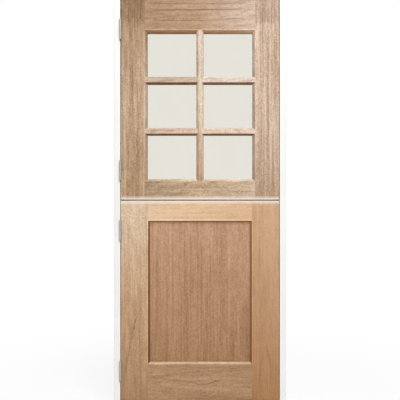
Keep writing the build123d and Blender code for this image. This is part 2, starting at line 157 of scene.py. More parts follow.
class FixingChoices(bpy.types.PropertyGroup):
    """Sizes of the screws in the hinges and in the frame's corners."""

    hinge_screw_length: length_property("Hinge screw length", "Head to tip", 0.028)
    hinge_screw_head: length_property("Hinge screw head", "Radius of the head", 0.004)
    hinge_screw_shank: length_property("Hinge screw shank", "Radius over the thread", 0.002)
    corner_screw_length: length_property("Corner screw length", "Head to tip", 0.080)
    corner_screw_head: length_property("Corner screw head", "Radius of the head", 0.005)
    corner_screw_shank: length_property("Corner screw shank", "Radius over the thread", 0.0025)
    sides: IntProperty(name="Sides", description="Sides of a screw's round form", default=20, min=8, max=48)


class StudioChoices(bpy.types.PropertyGroup):
    """Light of the studio."""

    key: power_property("Key light", "Power of the large light in front", 540.0)
    top: power_property("Top light", "Power of the light above the door", 12.0)
    back: power_property("Back light", "Power of the light behind the door", 36.0)
    around: share_property("Light all round", "Strength of the even light from all sides", 0.29)


# Wiring of materials


class Wiring:
    """Adds nodes to one tree. What goes into a node is a plain value or another node's output."""

    def __init__(self, tree):
        self.tree = tree

    def add(self, kind, plugs=None, **settings):
        """A node, with its settings and with what is plugged into it."""
        made = self.tree.nodes.new(kind)
        for name, value in settings.items():
            setattr(made, name, value)
        for name, value in (plugs or {}).items():
            if isinstance(value, bpy.types.NodeSocket):
                self.tree.links.new(value, made.inputs[name])
            else:
                made.inputs[name].default_value = value
        return made

    def maths(self, operation, first, second=0.0, clamp=False):
        made = self.add("ShaderNodeMath", {0: first, 1: second}, operation=operation, use_clamp=clamp)
        return made.outputs[0]

    def plus(self, first, *others, clamp=False):
        """The sum of several values. Where it is clamped, it stays between 0 and 1."""
        *middle, last = others
        for other in middle:
            first = self.maths("ADD", first, other)
        return self.maths("ADD", first, last, clamp)

    def minus(self, first, second):
        return self.maths("SUBTRACT", first, second)

    def times(self, first, *others):
        for other in others:
            first = self.maths("MULTIPLY", first, other)
        return first

    def over(self, first, second):
        return self.maths("DIVIDE", first, second)

    def times_plus(self, value, factor, offset, clamp=False):
        plugs = {0: value, 1: factor, 2: offset}
        return self.add("ShaderNodeMath", plugs, operation="MULTIPLY_ADD", use_clamp=clamp).outputs[0]

    def vector(self, operation, first, second):
        made = self.add("ShaderNodeVectorMath", {0: first, 1: second}, operation=operation)
        return made.outputs["Value" if operation == "DOT_PRODUCT" else "Vector"]

    def stretched(self, vector, factor):
        made = self.add("ShaderNodeVectorMath", {0: vector, "Scale": factor}, operation="SCALE")
        return made.outputs["Vector"]

    def length(self, vector):
        return self.add("ShaderNodeVectorMath", {0: vector}, operation="LENGTH").outputs["Value"]

    def split(self, vector):
        return self.add("ShaderNodeSeparateXYZ", {0: vector}).outputs

    def joined(self, x, y, z):
        return self.add("ShaderNodeCombineXYZ", {0: x, 1: y, 2: z}).outputs[0]

    def noise(self, place, stretch, seed, detail=2.0, roughness=0.5, output="Fac"):
        """Noise that is finer across the board than along it."""
        spot = self.vector("MULTIPLY", place, stretch)
        spot = self.vector("ADD", spot, self.stretched((7.31, 3.17, 5.53), seed))
        plugs = {"Vector": spot, "Scale": 1.0, "Detail": detail, "Roughness": roughness}
        return self.add("ShaderNodeTexNoise", plugs).outputs[output]

    def spread(self, value, low, high, to_low=0.0, to_high=1.0):
        """Spreads a narrow span of values over a new one, smoothly."""
        plugs = {"Value": value, "From Min": low, "From Max": high, "To Min": to_low, "To Max": to_high}
        return self.add("ShaderNodeMapRange", plugs, interpolation_type="SMOOTHSTEP").outputs[0]

    def blend(self, factor, first, second, kind="MIX"):
        plugs = {0: factor, 6: first, 7: second}
        return self.add("ShaderNodeMix", plugs, data_type="RGBA", blend_type=kind).outputs[2]

    def stained(self, colour, amount, stain):
        """A colour multiplied by a stain, as far as the amount says."""
        return self.blend(amount, colour, stain, "MULTIPLY")

    def between(self, factor, first, second):
        made = self.add("ShaderNodeMix", {0: factor, 4: first, 5: second}, data_type="VECTOR")
        return made.outputs[1]

    def effect(self, build, plugs):
        """A shared effect, which is built when it is first wanted."""
        tree = bpy.data.node_groups.get(build.__name__) or build()
        return self.add("ShaderNodeGroup", plugs, node_tree=tree).outputs


def new_effect(name, takes, gives):
    """An empty node group, with its wiring, its inputs and its outputs. A default's parts tell its kind."""
    tree = bpy.data.node_groups.new(name, "ShaderNodeTree")
    for label, default in takes.items():
        kind = SOCKET_KINDS[len(default) if isinstance(default, tuple) else 1]
        tree.interface.new_socket(name=label, in_out="INPUT", socket_type=kind).default_value = default
    for label, kind in gives.items():
        tree.interface.new_socket(name=label, in_out="OUTPUT", socket_type=kind)
    wires = Wiring(tree)
    return wires, wires.add("NodeGroupInput").outputs, wires.add("NodeGroupOutput").inputs


def deliver(wires, gives, results):
    """Links a group's results to its outputs, and gives back the finished group."""
    for name, result in results.items():
        wires.tree.links.new(result, gives[name])
    return wires.tree


# Effects that several materials share

# What oak is multiplied by: its two casts, then an open pore, a board's end, a drawn line and a painted
# highlight on an arris
GREENISH = (0.985, 1.0, 0.955, 1)
PINKISH = (1.015, 0.98, 0.995, 1)
PORE_STAIN = (0.66, 0.56, 0.47, 1)
END_STAIN = (0.66, 0.6, 0.53, 1)
STREAK_STAIN = (0.36, 0.26, 0.18, 1)
ARRIS_HIGHLIGHT_TINT = (1.3, 1.34, 1.38, 1)

# What primer is multiplied by where it is yellowed and where it is thin, then steel and glass where stained
YELLOWED = (0.97, 0.955, 0.92, 1)
THIN_PRIMER = (0.95, 0.93, 0.9, 1)
TARNISH = (0.86, 0.84, 0.81, 1)
HAZE = (0.985, 0.98, 0.972, 1)

# What a board's effects take in: the place on it and its seed, how it was cut, and how lively its grain is
BOARD = {"Board": (0, 0, 0), "Seed": 0.0}
CUT = {"Heart": (0, 0.1, 0), "Taper": 0.03, "Ring Width": 0.004, "Wander": 0.004}
GRAIN = {"Figure": 0.5, "Mottle": 0.5, "Fleck": 1.5, "Stripes": 0.5}

# How far behind its front face a member's moulding ends, and how soft that limit is
MOULDING_END = 0.019
SOFT_LIMIT = 0.0005

# How dark a board is on the whole between its lightest and its darkest grain
MEAN_DARKNESS = 0.36


def growth_rings():
    """Lines of the yearly growth, seen where a board cuts through the rings of the tree."""
    wires, takes, gives = new_effect("growth_rings", {**BOARD, **CUT}, {"Line": VALUE, "Ring Tone": VALUE})
    drift = wires.noise(takes["Board"], (9, 9, 1.6), takes["Seed"], 4.0, 0.55, "Color")
    drift = wires.stretched(wires.vector("SUBTRACT", drift, (0.5, 0.5, 0.5)), takes["Wander"])
    place = wires.vector("SUBTRACT", takes["Board"], takes["Heart"])
    x, y, z = wires.split(wires.vector("ADD", place, drift))[:3]
    y = wires.plus(y, wires.times(z, takes["Taper"]))
    count = wires.over(wires.length(wires.joined(x, y, 0.0)), takes["Ring Width"])
    years = {"W": wires.times(count, 0.31), "Detail": 1.0}
    uneven = wires.add("ShaderNodeTexNoise", years, noise_dimensions="1D").outputs["Fac"]
    count = wires.times_plus(uneven, 3.0, count)
    number = {"W": wires.plus(wires.maths("FLOOR", count), takes["Seed"])}
    tone = wires.add("ShaderNodeTexWhiteNoise", number, noise_dimensions="1D").outputs["Value"]
    line = wires.maths("POWER", wires.minus(1.0, wires.maths("FRACT", count)), 2.5)
    strength = wires.maths("POWER", tone, 2.2)
    line = wires.times(line, wires.times_plus(strength, 0.8, 0.2))
    return deliver(wires, gives, {"Line": line, "Ring Tone": tone})


def fibres():
    """Fine streaks along the grain, and the uneven blotches of sanded oak."""
    results = ("Streak", "Stripe", "Blotch", "Fleck", "Drift")
    wires, takes, gives = new_effect("fibres", BOARD, dict.fromkeys(results, VALUE))
    board, seed = takes["Board"], takes["Seed"]
    fine = wires.noise(board, (420, 420, 11), seed, 3.0, 0.6)
    broad = wires.noise(board, (95, 95, 5), seed, 3.0, 0.6)
    streak = wires.times(wires.plus(fine, broad), 0.5)
    stripe = wires.noise(board, (72, 72, 1.6), seed, 2.0, 0.55)
    slanted = wires.add("ShaderNodeMapping", {"Vector": board, "Rotation": (0, 0.12, 0)}).outputs[0]
    blotch = wires.noise(slanted, (62, 62, 17), seed, 3.0, 0.62)
    fleck = wires.noise(slanted, (185, 185, 120), seed, 2.0, 0.6)
    drift = wires.noise(board, (11, 11, 2.2), seed, 2.0)
    return deliver(wires, gives, dict(zip(results, (streak, stripe, blotch, fleck, drift))))


def open_pores():
    """Short dark pores, most of them along the start of each ring."""
    wires, takes, gives = new_effect("open_pores", {**BOARD, "Line": 0.5}, {"Pore": VALUE})
    dashes = wires.noise(takes["Board"], (1500, 1500, 62), takes["Seed"], 1.0)
    share = wires.times_plus(takes["Line"], 0.9, 0.3, clamp=True)
    return deliver(wires, gives, {"Pore": wires.times(wires.spread(dashes, 0.57, 0.66), share)})


def cut_end():
    """Where the grain runs straight into a face, so that it shows the board's end."""
    wires, takes, gives = new_effect("cut_end", {"Normal": (0, 0, 1), "Grain": (0, 0, 1)}, {"End": VALUE})
    along = wires.maths("ABSOLUTE", wires.vector("DOT_PRODUCT", takes["Normal"], takes["Grain"]))
    return deliver(wires, gives, {"End": wires.spread(along, 0.72, 0.9)})


def worked_edge():
    """Where a member's moulding lies behind its front face and turns towards one side: the mask for the
    painted shade and the painted highlight on it.
    """
    wires, takes, gives = new_effect(
        "worked_edge",
        {"Board": (0, 0, 0), "Normal": (0, 0, 1), "Inward": (1, 0, 0), "Half Thickness": 0.022},
        {"Moulding": VALUE},
    )
    depth = wires.plus(wires.split(takes["Board"])["Y"], takes["Half Thickness"])
    behind = wires.spread(depth, 0.2 * SOFT_LIMIT, SOFT_LIMIT)
    before = wires.spread(depth, MOULDING_END + SOFT_LIMIT, MOULDING_END - SOFT_LIMIT)
    turned = wires.spread(wires.vector("DOT_PRODUCT", takes["Normal"], takes["Inward"]), 0.12, 0.45)
    return deliver(wires, gives, {"Moulding": wires.times(behind, before, turned)})


def eased_arris():
    """A painted highlight along the line where a member's face turns into its moulding."""
    wires, takes, gives = new_effect(
        "eased_arris",
        {
            "Place": (0, 0, 0),
            "Inward": (1, 0, 0),
            "Edge": 0.0,
            "Low": 0.0,
            "High": 3.0,
            "Back": 0.0,
            "Reach": 0.008,
        },
        {"Arris": VALUE},
    )
    away = wires.minus(takes["Edge"], wires.vector("DOT_PRODUCT", takes["Place"], takes["Inward"]))
    near = wires.times(wires.spread(away, takes["Reach"], 0.0), wires.spread(away, -0.0008, -0.0002))
    place = wires.split(takes["Place"])
    above = wires.maths("GREATER_THAN", place["Z"], takes["Low"])
    below = wires.maths("LESS_THAN", place["Z"], takes["High"])
    in_front = wires.maths("LESS_THAN", place["Y"], takes["Back"])
    return deliver(wires, gives, {"Arris": wires.times(near, above, below, in_front)})


def pale_edge():
    """A painted highlight on the oak towards the edges where the two leaves meet."""
    wires, takes, gives = new_effect(
        "pale_edge", {"Place": (0, 0, 0), "Meeting": 1.0, "Reach": 0.025}, {"Pale": VALUE}
    )
    away = wires.maths("ABSOLUTE", wires.minus(wires.split(takes["Place"])["Z"], takes["Meeting"]))
    uneven = wires.noise(takes["Place"], (60, 60, 20), 3.0, 2.0)
    reach = wires.times(takes["Reach"], wires.times_plus(uneven, 0.4, 0.85))
    return deliver(wires, gives, {"Pale": wires.spread(wires.over(away, reach), 1.0, 0.05)})


def dark_streak():
    """One darker line of grain between two points of a board, wavy and fading at its ends."""
    wires, takes, gives = new_effect(
        "dark_streak",
        {
            "Board": (0, 0, 0),
            "Start": (0, 0, 0),
            "Along": (0, 0, 1),
            "Length": 0.1,
            "Width": 0.003,
            "Bow": 0.0,
            "Wave": 0.003,
            "Strength": 0.5,
        },
        {"Streak": VALUE},
    )
    place = wires.vector("SUBTRACT", takes["Board"], takes["Start"])
    along = wires.vector("DOT_PRODUCT", place, takes["Along"])
    share = wires.over(along, takes["Length"])
    aside = wires.vector("DOT_PRODUCT", place, wires.vector("CROSS_PRODUCT", takes["Along"], (0, 1, 0)))
    bow = wires.times(share, wires.minus(1.0, share), 4.0)
    aside = wires.minus(aside, wires.times(bow, takes["Bow"]))
    wave = wires.times_plus(wires.noise(takes["Board"], (20, 20, 14), 5.0, 3.0), 2.0, -1.0)
    aside = wires.plus(aside, wires.times(wave, takes["Wave"]))
    near = wires.spread(wires.over(wires.maths("ABSOLUTE", aside), takes["Width"]), 1.0, 0.1)
    ends = wires.times(wires.spread(share, 0.0, 0.18), wires.spread(share, 1.0, 0.82))
    broken = wires.noise(takes["Board"], (260, 260, 22), 8.0, 3.0, 0.6)
    broken = wires.times_plus(broken, 1.1, 0.4, clamp=True)
    return deliver(wires, gives, {"Streak": wires.times(near, ends, broken, takes["Strength"])})


def oak_board():
    """Colour, roughness and relief of one board of unfinished oak, with painted light and shade on it: along
    the board, on its moulding, beside its arris and at the edges where the leaves meet.
    """
    wires, takes, gives = new_effect(
        "oak_board",
        {
            **BOARD,
            **CUT,
            **GRAIN,
            "End": 0.0,
            "Light": (0.6, 0.5, 0.4, 1),
            "Dark": (0.3, 0.2, 0.1, 1),
            "Length": 1.0,
            "Low Fade": (1, 1, 1),
            "High Fade": (1, 1, 1),
            "Streaks": 0.0,
            "Moulding": 0.0,
            "Moulding Tone": OPAQUE_WHITE,
            "Arris": 0.0,
            "Pale": 0.0,
            "Pale Tone": OPAQUE_WHITE,
        },
        FINISH,
    )
    board = {name: takes[name] for name in BOARD}
    cut = {name: takes[name] for name in CUT}
    ring = wires.effect(growth_rings, {**board, **cut})
    fibre = wires.effect(fibres, board)
    pore = wires.effect(open_pores, {**board, "Line": ring["Line"]})["Pore"]

    figure = wires.plus(wires.times_plus(ring["Ring Tone"], 0.4, -0.2), wires.times(ring["Line"], 0.8))
    figure = wires.times(figure, takes["Figure"])
    mottle = wires.times(wires.times_plus(fibre["Blotch"], 2.4, -1.2), takes["Mottle"])
    fleck = wires.times(wires.minus(fibre["Fleck"], 0.5), takes["Fleck"])
    streak = wires.times_plus(fibre["Streak"], 1.1, -0.55)
    stripes = wires.times(wires.times_plus(fibre["Stripe"], 1.6, -0.8), takes["Stripes"])
    drift = wires.times_plus(fibre["Drift"], 0.46, -0.23)
    dark = wires.plus(figure, mottle, fleck, streak, stripes, drift, MEAN_DARKNESS, clamp=True)

    colour = wires.blend(dark, takes["Light"], takes["Dark"])
    blush = wires.spread(wires.noise(takes["Board"], (55, 55, 12), takes["Seed"], 3.0), 0.3, 0.7)
    colour = wires.stained(colour, 1.0, wires.blend(blush, GREENISH, PINKISH))
    colour = wires.stained(colour, pore, PORE_STAIN)
    colour = wires.stained(colour, takes["End"], END_STAIN)
    # Painted light falloff along the board, from its middle towards each end
    share = wires.plus(wires.over(wires.split(takes["Board"])["Z"], takes["Length"]), 0.5, clamp=True)
    fade = wires.between(wires.times_plus(share, 2.0, 0.0, clamp=True), takes["Low Fade"], WHITE)
    fade = wires.between(wires.times_plus(share, 2.0, -1.0, clamp=True), fade, takes["High Fade"])
    colour = wires.vector("MULTIPLY", colour, fade)
    colour = wires.stained(colour, takes["Streaks"], STREAK_STAIN)
    # Painted shade on mouldings that face sideways and down, painted highlight on those that face up
    colour = wires.stained(colour, takes["Moulding"], takes["Moulding Tone"])
    # Painted highlight beside the moulding
    colour = wires.stained(colour, takes["Arris"], ARRIS_HIGHLIGHT_TINT)
    # Painted highlight along the edges where the two leaves meet
    colour = wires.blend(takes["Pale"], colour, takes["Pale Tone"])

    rough = wires.plus(wires.times_plus(dark, 0.16, 0.52), wires.times(pore, 0.15))
    relief = wires.minus(wires.times_plus(streak, 0.3, 0.5), wires.times(ring["Line"], 0.25))
    relief = wires.minus(relief, pore)
    return deliver(wires, gives, {"Colour": colour, "Roughness": rough, "Relief": relief})


def mitred_beads():
    """Turns the grain so that it runs along each of the four beads round a pane, up to the mitres."""
    wires, takes, gives = new_effect(
        "mitred_beads", {"Pane": (0, 0, 0), "Half Width": 0.14, "Half Height": 0.12}, {"Board": VECTOR}
    )
    x, y, z = wires.split(takes["Pane"])[:3]
    from_side = wires.minus(takes["Half Width"], wires.maths("ABSOLUTE", x))
    from_end = wires.minus(takes["Half Height"], wires.maths("ABSOLUTE", z))
    level = wires.maths("LESS_THAN", from_end, from_side)
    return deliver(wires, gives, {"Board": wires.between(level, takes["Pane"], wires.joined(z, y, x))})


def brushed_primer():
    """Brush marks, thin spots and faint yellowing of a coat of primer."""
    wires, takes, gives = new_effect("brushed_primer", {**BOARD, "Coat": (0.8, 0.8, 0.8, 1)}, FINISH)
    board, seed = takes["Board"], takes["Seed"]
    marks = wires.noise(board, (620, 620, 9), seed, 3.0, 0.6)
    grain = wires.noise(board, (180, 180, 4), seed, 2.0)
    cloud = wires.noise(board, (9, 9, 4), seed, 3.0)
    colour = wires.stained(takes["Coat"], wires.spread(cloud, 0.3, 0.75), YELLOWED)
    colour = wires.stained(colour, wires.spread(grain, 0.6, 0.85), THIN_PRIMER)
    rough = wires.times_plus(marks, 0.25, 0.42)
    return deliver(wires, gives, {"Colour": colour, "Roughness": rough, "Relief": wires.plus(marks, grain)})


def satin_steel():
    """Fine brushing and slight stains on steel."""
    inputs = {"Piece": (0, 0, 0), "Metal": (0.5, 0.5, 0.5, 1)}
    wires, takes, gives = new_effect("satin_steel", inputs, FINISH)
    brushing = wires.noise(takes["Piece"], (2600, 2600, 120), 0.0, 2.0)
    stain = wires.noise(takes["Piece"], (160, 160, 90), 0.0, 3.0)
    colour = wires.stained(takes["Metal"], wires.spread(stain, 0.35, 0.75), TARNISH)
    rough = wires.plus(wires.times_plus(brushing, 0.22, 0.2), wires.times(stain, 0.08))
    return deliver(wires, gives, {"Colour": colour, "Roughness": rough, "Relief": brushing})


def glass_film():
    """The faint film on glass: a little haze here and there."""
    inputs = {"Pane": (0, 0, 0), "Glass": (0.9, 0.9, 0.9, 1)}
    wires, takes, gives = new_effect("glass_film", inputs, {"Colour": COLOUR, "Roughness": VALUE})
    haze = wires.spread(wires.noise(takes["Pane"], (8, 8, 8), 2.0, 3.0), 0.4, 0.8)
    colour = wires.stained(takes["Glass"], haze, HAZE)
    return deliver(wires, gives, {"Colour": colour, "Roughness": wires.times(haze, 0.02)})


# Materials


def new_material(name):
    """A material with its wiring and its shader."""
    material = bpy.data.materials.new(name)
    material.use_nodes = True
    return material, Wiring(material.node_tree), material.node_tree.nodes["Principled BSDF"]


def plug(wires, shader, outputs, depth=None):
    """Feeds a shader with a colour and a roughness, and with a relief where its depth is given."""
    wires.tree.links.new(outputs["Colour"], shader.inputs["Base Color"])
    wires.tree.links.new(outputs["Roughness"], shader.inputs["Roughness"])
    if depth is not None:
        bump = wires.add("ShaderNodeBump", {"Height": outputs["Relief"], "Distance": depth, "Strength": 1.0})
        wires.tree.links.new(bump.outputs["Normal"], shader.inputs["Normal"])


def on_board(wires, centre, turn):
    """Places on a board: across it, through it and along it, from its middle."""
    spot = wires.add("ShaderNodeTexCoord").outputs
    plugs = {"Vector": spot["Object"], "Location": centre, "Rotation": turn}
    return wires.add("ShaderNodeMapping", plugs, vector_type="TEXTURE").outputs[0], spot


def middle_of(node):
    """Middle of a CAD node."""
    low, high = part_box(node)
    return tuple((low + high) / 2)


def give_finish(node, material):
    """Puts one material on all of a CAD node."""
    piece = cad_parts[node]
    if not piece.material_slots:
        piece.data.materials.append(material)
    for slot in piece.material_slots:
        slot.material = material


# How much lighter and darker than its tone a board's grain is at full span, and by which powers its red,
# green and blue fall behind where it is darker
LIGHTER = 0.45
DARKER = 0.62
SATURATION = (0.0, 0.22, 0.5)


def grain_colours(tone, span):
    """The lightest and the darkest grain of a board. The darker, the more saturated, at the same mean."""
    light, dark = 1 + LIGHTER * span, 1 - DARKER * span
    of_light, of_dark = (1 - MEAN_DARKNESS) * light, MEAN_DARKNESS * dark
    gains = [(light / (of_light + of_dark)) ** power - 1 for power in SATURATION]
    lightest = [min(1.0, part * light * (1 + gain)) for part, gain in zip(tone, gains)]
    darkest = [part * dark * max(0.1, 1 - gain * of_light / of_dark) for part, gain in zip(tone, gains)]
    return opaque(lightest), opaque(darkest)


# How far a drawn line of grain wanders on a level board and on an upright one
LEVEL_WAVE = 0.003
UPRIGHT_WAVE = 0.0013

# How strong the painted highlight is at the very edges where the leaves meet
MEETING_HIGHLIGHT_STRENGTH = 0.83

# The width of the moulding on each leaf's members, and the rails at the foot and the head of its opening
MOULDING_WIDTHS = {"upper": 0.013, "lower": 0.009}
RAILS = {"upper": ("upper_meeting_rail", "upper_top_rail"), "lower": ("bottom_rail", "lower_top_rail")}

# How far behind the leaf's front face the painted arris highlight may reach
ARRIS_DEPTH = 0.0215


def oak_look(tone, cut, contrast):
    """The oak effect's inputs that a board's colour, its place in the tree and its liveliness give."""
    *grain, span = contrast
    lightest, darkest = grain_colours(tone, span)
    return {**dict(zip(CUT, cut)), **dict(zip(GRAIN, grain)), "Light": lightest, "Dark": darkest}


def drawn_streaks(wires, board, turn, streaks):
    """All of a board's drawn lines of grain, each from one point to another, seen from the front."""
    total = 0.0
    for start, end, width, bow, strength in streaks:
        if turn == LEVEL:
            start, end = (-start[1], start[0]), (-end[1], end[0])
        line = Vector((end[0] - start[0], 0, end[1] - start[1]))
        plugs = {
            "Board": board,
            "Start": (start[0], 0, start[1]),
            "Along": tuple(line.normalized()),
            "Length": line.length,
            "Width": width,
            "Bow": bow,
            "Wave": LEVEL_WAVE if turn == LEVEL else UPRIGHT_WAVE,
            "Strength": strength,
        }
        total = wires.plus(total, wires.effect(dark_streak, plugs)["Streak"], clamp=True)
    return total


def moulding(wires, node, board, normal, inward, lead=0.0):
    """Where a node's moulding shows, as the mask for its painted shade and highlight. With a lead, the node's
    front face counts too.
    """
    low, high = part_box(node)
    half = (high.y - low.y) / 2 + lead
    plugs = {"Board": board, "Normal": normal, "Inward": inward, "Half Thickness": half}
    return wires.effect(worked_edge, plugs)["Moulding"]


def arris(wires, node, place, inward):
    """Where the painted highlight beside a moulding shows; on the panel it is a band near its top that
    lightens the shade under the moulding. A stile's runs only as far as the rails' faces.
    """
    leaf = node.split("_")[0]
    low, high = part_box(node)
    sill, head = (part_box(rail) for rail in RAILS[leaf])
    width = MOULDING_WIDTHS[leaf]
    bottom, top = (sill[1].z - width, head[0].z + width) if "stile" in node else (low.z, high.z)
    plugs = {
        "Place": place,
        "Inward": inward,
        "Edge": max(corner.dot(Vector(inward)) for corner in (low, high)) - width,
        "Low": bottom,
        "High": top,
        "Back": sill[0].y + ARRIS_DEPTH,
        "Reach": ARRISES[node],
    }
    return wires.effect(eased_arris, plugs)["Arris"]


def oak_material(node, turn, seed, tone, cut, contrast, inward=None, shade=WHITE):
    """Oak for one member. Inward and shade say where its moulding faces and the painted shade it gets there,
    which is a painted highlight where it is above 1.
    """
    choices = bpy.context.scene.door_oak
    material, wires, shader = new_material(f"oak_{node}")
    low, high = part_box(node)
    board, spot = on_board(wires, middle_of(node), turn)
    along = (1, 0, 0) if turn == LEVEL else (0, 0, 1)
    plugs = oak_look(tone, cut, contrast)
    plugs["Board"] = board
    plugs["Seed"] = seed
    plugs["End"] = wires.effect(cut_end, {"Normal": spot["Normal"], "Grain": along})["End"]
    plugs["Length"] = max(high.x - low.x, high.z - low.z)
    if node in FADES:
        plugs["Low Fade"], plugs["High Fade"] = FADES[node]
    if node in STREAKS:
        plugs["Streaks"] = drawn_streaks(wires, board, turn, STREAKS[node])
    if inward:
        plugs["Moulding"] = moulding(wires, node, board, spot["Normal"], inward)
        plugs["Moulding Tone"] = opaque(shade)
    # Painted highlight beside the moulding
    if node in ARRISES:
        plugs["Arris"] = arris(wires, node, spot["Object"], inward)
    # Painted highlight towards the edges where the leaves meet
    meeting = (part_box("lower_top_rail")[1].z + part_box("upper_meeting_rail")[0].z) / 2
    edge_highlight = wires.effect(pale_edge, {"Place": spot["Object"], "Meeting": meeting})["Pale"]
    plugs["Pale"] = wires.times(edge_highlight, MEETING_HIGHLIGHT_STRENGTH)
    plugs["Pale Tone"] = opaque(choices.meeting_edges)
    plug(wires, shader, wires.effect(oak_board, plugs), choices.pore_depth)
    shader.inputs["Specular IOR Level"].default_value = 0.35
    return material


# How the boards were cut: the heart's place from the board's middle, the taper, ring width and wander
FLAT_CUT = ((0.012, 0.085, 0.1), 0.05, 0.0046, 0.010)
RIFT_CUT = ((0.11, 0.10, -0.2), 0.02, 0.0040, 0.012)
QUARTER_CUT = ((0.30, 0.05, 0.0), 0.012, 0.0052, 0.007)
BAR_CUT = ((0.10, 0.12, 0.0), 0.02, 0.0034, 0.005)

# How strong the grain is: the figure, the mottle, the flecks, the stripes and the span from light to dark
MOTTLED = (0.25, 0.4, 1.5, 0.8, 0.82)
RIBBONED = (0.2, 0.3, 1.3, 0.6, 0.78)
PLAIN_RAIL = (0.2, 0.45, 1.0, 0.2, 0.6)
LIVELY_RAIL = (0.2, 0.5, 1.2, 0.3, 0.76)
CALM = (0.3, 0.3, 1.2, 0.3, 0.64)
CALMER = (0.25, 0.25, 0.9, 0.15, 0.48)
STRIPED = (0.15, 0.25, 1.2, 0.55, 0.62)
BAR_GRAIN = (0.35, 0.5, 1.6, 0.1, 0.63)
FINE = (0.5, 0.25, 1.0, 0.3, 0.55)

# The painted shade on the lower sides of the cross bars and of the beads, beside their faces
UNDERSIDE_SHADE = (0.41, 0.22, 0.08)

# The tones of the glazing bars beside the oak that is chosen for them
UPRIGHT_BAR_TINT = (1.09, 1.12, 1.1)
CROSS_BAR_TINTS = {
    "upper_left": (0.85, 0.84, 0.83),
    "upper_right": (1.05, 1.12, 1.25),
    "lower_left": (0.95, 0.91, 0.92),
    "lower_right": (1.09, 1.11, 1.16),
}

# How far before a bead its moulding is taken to start
BEAD_LEAD = 0.002

# Where a moulding faces
TO_LEFT = (-1, 0, 0)
TO_RIGHT = (1, 0, 0)
DOWN = (0, 0, -1)
UP = (0, 0, 1)

# How each board's tone changes from its middle to its lower or left end, and to its upper or right end:
# mostly painted light and shade, lighter where the light falls stronger and darker where it falls off, partly
# the board's own change of tone
FADES = {
    "upper_hinge_stile": ((0.86, 0.8, 0.69), (0.63, 0.54, 0.43)),
    "upper_latch_stile": ((0.72, 0.65, 0.55), (1.03, 1.03, 1.07)),
    "upper_top_rail": ((0.89, 0.86, 0.82), (1.32, 1.52, 1.95)),
    "upper_meeting_rail": ((0.72, 0.69, 0.64), (1.06, 1.12, 1.24)),
    "upright_glazing_bar": ((0.72, 0.55, 0.47), (0.92, 0.9, 1.0)),
    "lower_top_rail": ((1.07, 1.14, 1.23), (0.92, 0.89, 0.86)),
    "lower_hinge_stile": ((0.68, 0.6, 0.51), (1.24, 1.46, 1.82)),
    "lower_latch_stile": ((0.76, 0.67, 0.55), (1.19, 1.29, 1.42)),
    "bottom_rail": ((1.07, 1.05, 1.06), (0.96, 0.96, 0.94)),
    "lower_panel": ((0.81, 0.8, 0.7), (1.16, 1.23, 1.38)),
}

# The half width of a drawn line that darkens the whole width of a board
WHOLE_BOARD = 0.2

